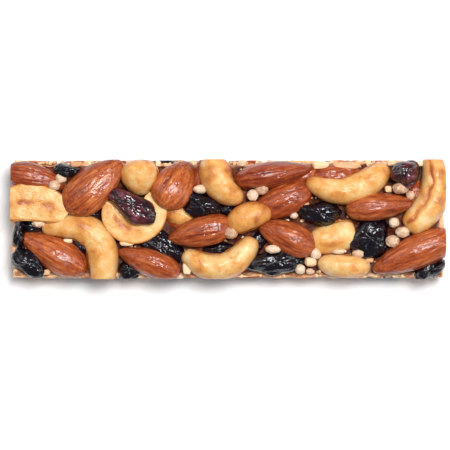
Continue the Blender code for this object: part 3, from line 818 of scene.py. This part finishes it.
def cashew_finish():
    """Roasted cashew: warm cream on top, golden brown down its flanks from syrup and painted shade, toasted
    in patches, a few specks.
    """
    made = Finish(
        "cashew_flesh_roasted",
        Coat_Weight=0.75,
        Coat_Roughness=0.08,
        Specular_IOR_Level=0.12,
        Subsurface_Weight=0.10,
        Subsurface_Scale=0.0012,
        Subsurface_Radius=(1.0, 0.6, 0.25),
    )
    patch = made.speckle(2.8, 4.0, 0.6)
    mottle = made.speckle(1.0, 4.0, 0.65)
    grain = made.speckle(0.5, 3.0, 0.6, (0.6, 1.0, 1.0))
    toast = made.weigh(
        (made.attribute("detail"), 0.40), (patch, 0.32), (mottle, 0.22), (made.attribute("tone"), 0.36)
    )
    skin = made.ramp(
        toast,
        (0.38, linear(246, 219, 166)),
        (0.51, linear(238, 196, 130)),
        (0.64, linear(231, 163, 84)),
        (0.84, linear(174, 86, 30)),
    )
    # Down its flanks it goes golden brown: partly syrup and browning, partly painted shade.
    low = made.span(made.attribute("flank"), 0.12, 0.60, 0.0, 0.80)
    flank_browning_and_painted_shade = made.mix(low, skin, linear(190, 103, 42))
    speck = made.span(made.speckle(1.0, 1.0, 0.4), 0.69, 0.80, 0.0, 0.60)
    dotted = made.mix(speck, flank_browning_and_painted_shade, linear(184, 108, 50))
    flesh = made.ramp(mottle, (0.3, linear(246, 198, 150)), (0.7, linear(254, 224, 186)))
    cut = made.span(made.attribute("cut"), 0.05, 0.2, 0.0, 0.9)
    glaze = made.speckle(0.9, 2.0, 0.5)
    made.bump(made.weigh((grain, 0.5), (mottle, 0.5)), 0.26, glaze, 0.20)
    return made.paint(made.mix(cut, dotted, flesh), made.span(mottle, 0.3, 0.7, 0.32, 0.50))


def fruit_finish(name, gloss, glaze, hollow, middle, crest):
    """Dried fruit, wet with syrup: deep colour in the folds, which is painted shade, and lighter on the
    crests, which is a painted sheen.

    Gloss is how rough its coat of syrup is, and glaze is how strongly the coat mirrors.
    """
    made = Finish(name, Coat_Weight=1.0, Coat_Roughness=gloss, Coat_IOR=glaze, Specular_IOR_Level=0.05)
    fold = made.attribute("detail")
    grain = made.speckle(0.55, 1.5, 0.4, (0.7, 1.0, 1.0))
    # The ramp from hollow to crest paints shade into the folds and a sheen onto the crests.
    colour = made.ramp(made.weigh((fold, 0.75), (grain, 0.3)), (0.25, hollow), (0.6, middle), (0.98, crest))
    made.bump(made.weigh((fold, 0.2), (grain, 0.8)), 0.24)
    return made.paint(colour, made.span(grain, 0.3, 0.7, 0.18, 0.38))


def crisp_finish():
    """Puffed crisp: pinkish beige, pitted, dull under a thin glaze, browner low down with syrup and painted
    shade.
    """
    made = Finish(
        "puffed_crisp",
        Coat_Weight=0.3,
        Coat_Roughness=0.2,
        Subsurface_Weight=0.1,
        Subsurface_Scale=0.001,
        Subsurface_Radius=(1.0, 0.7, 0.4),
    )
    grain = made.speckle(0.6, 3.0, 0.6)
    shade = made.weigh((made.attribute("tone"), 0.25), (grain, 0.70), (made.attribute("detail"), -0.15))
    colour = made.ramp(
        shade, (0.18, linear(248, 222, 192)), (0.38, linear(232, 196, 162)), (0.60, linear(192, 142, 106))
    )
    # Low down its flanks it goes brown: partly syrup, partly painted shade.
    low = made.span(made.attribute("flank"), 0.34, 0.66, 0.0, 0.60)
    made.bump(grain, 0.34)
    return made.paint(made.mix(low, colour, linear(168, 108, 68)), made.span(grain, 0.3, 0.7, 0.40, 0.60))


def chopped_finish():
    """Chopped nut and crumb: from cream to brown, a little glazed."""
    made = Finish("chopped_nut", Coat_Weight=0.3, Coat_Roughness=0.2)
    grain = made.speckle(0.6, 4.0, 0.6)
    shade = made.weigh((made.attribute("tone"), 0.7), (grain, 0.3))
    colour = made.ramp(
        shade,
        (0.20, linear(252, 220, 178)),
        (0.52, linear(240, 192, 140)),
        (0.84, linear(206, 138, 86)),
        (1.00, linear(140, 74, 38)),
    )
    made.bump(grain, 0.2)
    return made.paint(colour, made.span(grain, 0.3, 0.7, 0.35, 0.55))


def base_finish():
    """The syrup-bound mass: reddish brown syrup between the pieces, darkened there with painted shade, pale
    crumb along the edges.
    """
    made = Finish(
        "syrup_and_crumb",
        own_place=False,
        Coat_Weight=0.08,
        Coat_Roughness=0.3,
        Specular_IOR_Level=0.12,
    )
    crumb = made.speckle(1.6, 4.0, 0.55)
    patch = made.speckle(6.0, 2.0, 0.5)
    mixed = made.weigh((crumb, 0.55), (patch, 0.45))
    # The deep colours between the pieces are partly the syrup's own and partly painted shade in the gaps.
    deep = made.ramp(
        mixed,
        (0.34, linear(44, 14, 8)),
        (0.48, linear(80, 32, 16)),
        (0.60, linear(122, 58, 30)),
        (0.74, linear(172, 106, 60)),
    )
    pale = made.ramp(
        mixed,
        (0.34, linear(160, 88, 54)),
        (0.44, linear(222, 154, 108)),
        (0.54, linear(244, 197, 152)),
        (0.70, linear(252, 224, 194)),
    )
    made.bump(crumb, 0.3)
    return made.paint(made.mix(made.attribute("edge"), deep, pale), made.span(crumb, 0.3, 0.7, 0.4, 0.65))


# The room

def add_floor():
    """A plain pale floor."""
    half = 1.5
    corners = [(-half, -half, 0.0), (half, -half, 0.0), (half, half, 0.0), (-half, half, 0.0)]
    mesh = bpy.data.meshes.new("floor")
    mesh.from_pydata(corners, [], [(0, 1, 2, 3)])
    made = bpy.data.materials.new("pale_floor")
    made.use_nodes = True
    shader = made.node_tree.nodes["Principled BSDF"]
    shader.inputs["Base Color"].default_value = (0.93, 0.93, 0.93, 1.0)
    shader.inputs["Roughness"].default_value = 0.9
    shader.inputs["Specular IOR Level"].default_value = 0.1
    mesh.materials.append(made)
    floor = bpy.data.objects.new("floor", mesh)
    bpy.context.scene.collection.objects.link(floor)
    floor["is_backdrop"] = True


def add_light(name, place, size, power):
    """A square softbox at this place, in metres, turned to the bar."""
    data = bpy.data.lights.new(name, "AREA")
    data.size = size
    data.energy = power
    light = bpy.data.objects.new(name, data)
    light.location = place
    toward = -light.location
    light.rotation_euler = toward.to_track_quat("-Z", "Y").to_euler()
    bpy.context.scene.collection.objects.link(light)


def add_camera():
    """A long lens straight above, framed as in the photograph."""
    data = bpy.data.cameras.new("camera")
    data.lens = 180.0
    data.sensor_width = 36.0
    camera = bpy.data.objects.new("camera", data)
    seen_width = PHOTO_SIZE * PHOTO_SCALE
    above = seen_width * data.lens / data.sensor_width
    focus_height = 10.0
    x = (PHOTO_SIZE / 2.0 - BAR_MIDDLE_PX[0]) * PHOTO_SCALE
    y = (BAR_MIDDLE_PX[1] - PHOTO_SIZE / 2.0) * PHOTO_SCALE
    camera.location = (x * MM, y * MM, (focus_height + above) * MM)
    bpy.context.scene.collection.objects.link(camera)
    bpy.context.scene.camera = camera


def add_room():
    """The floor, the softboxes, the dim room round them and the camera."""
    add_floor()
    add_light("key_softbox", (0.17, 0.25, 0.95), 0.36, 9.6)
    add_light("side_softbox", (0.75, -0.10, 0.55), 0.40, 1.4)
    add_light("fill_softbox", (-0.55, 0.35, 0.80), 0.60, 1.5)
    world = bpy.data.worlds.new("room")
    world.use_nodes = True
    backdrop = world.node_tree.nodes["Background"]
    backdrop.inputs["Color"].default_value = (0.88, 0.90, 1.0, 1.0)
    backdrop.inputs["Strength"].default_value = 0.20
    bpy.context.scene.world = world
    bpy.context.scene.view_settings.view_transform = "Standard"
    add_camera()


def build():
    """The whole bar and its room."""
    almond = almond_finish()
    cashew = cashew_finish()
    chopped = chopped_finish()
    syrup = base_finish()
    # Of each fruit's three colours, the first, for the folds, is darkened as painted shade, and the last,
    # for the crests, is lightened as a painted sheen.
    near_black = linear(6, 1, 8), linear(14, 5, 18), linear(42, 24, 42)
    dark_red = linear(30, 4, 9), linear(86, 24, 36), linear(160, 90, 102)
    dark_fruit = fruit_finish("dark_fruit_skin", 0.05, 1.57, *near_black)
    red_fruit = fruit_finish("red_fruit_skin", 0.10, 1.72, *dark_red)
    add_almonds(almond)
    add_cashews(cashew)
    add_dried_fruit(dark_fruit, red_fruit)
    add_lower_layer({"almond": almond, "cashew": cashew, "fruit": dark_fruit})
    add_small_pieces(crisp_finish(), chopped)
    add_crumbs(chopped)
    add_base(syrup)
    add_syrup_edge(syrup)
    add_room()


build()
boxes = {"cad": cad_box, "visual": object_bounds()}
{name: [list(corner) for corner in box] for name, box in boxes.items()}
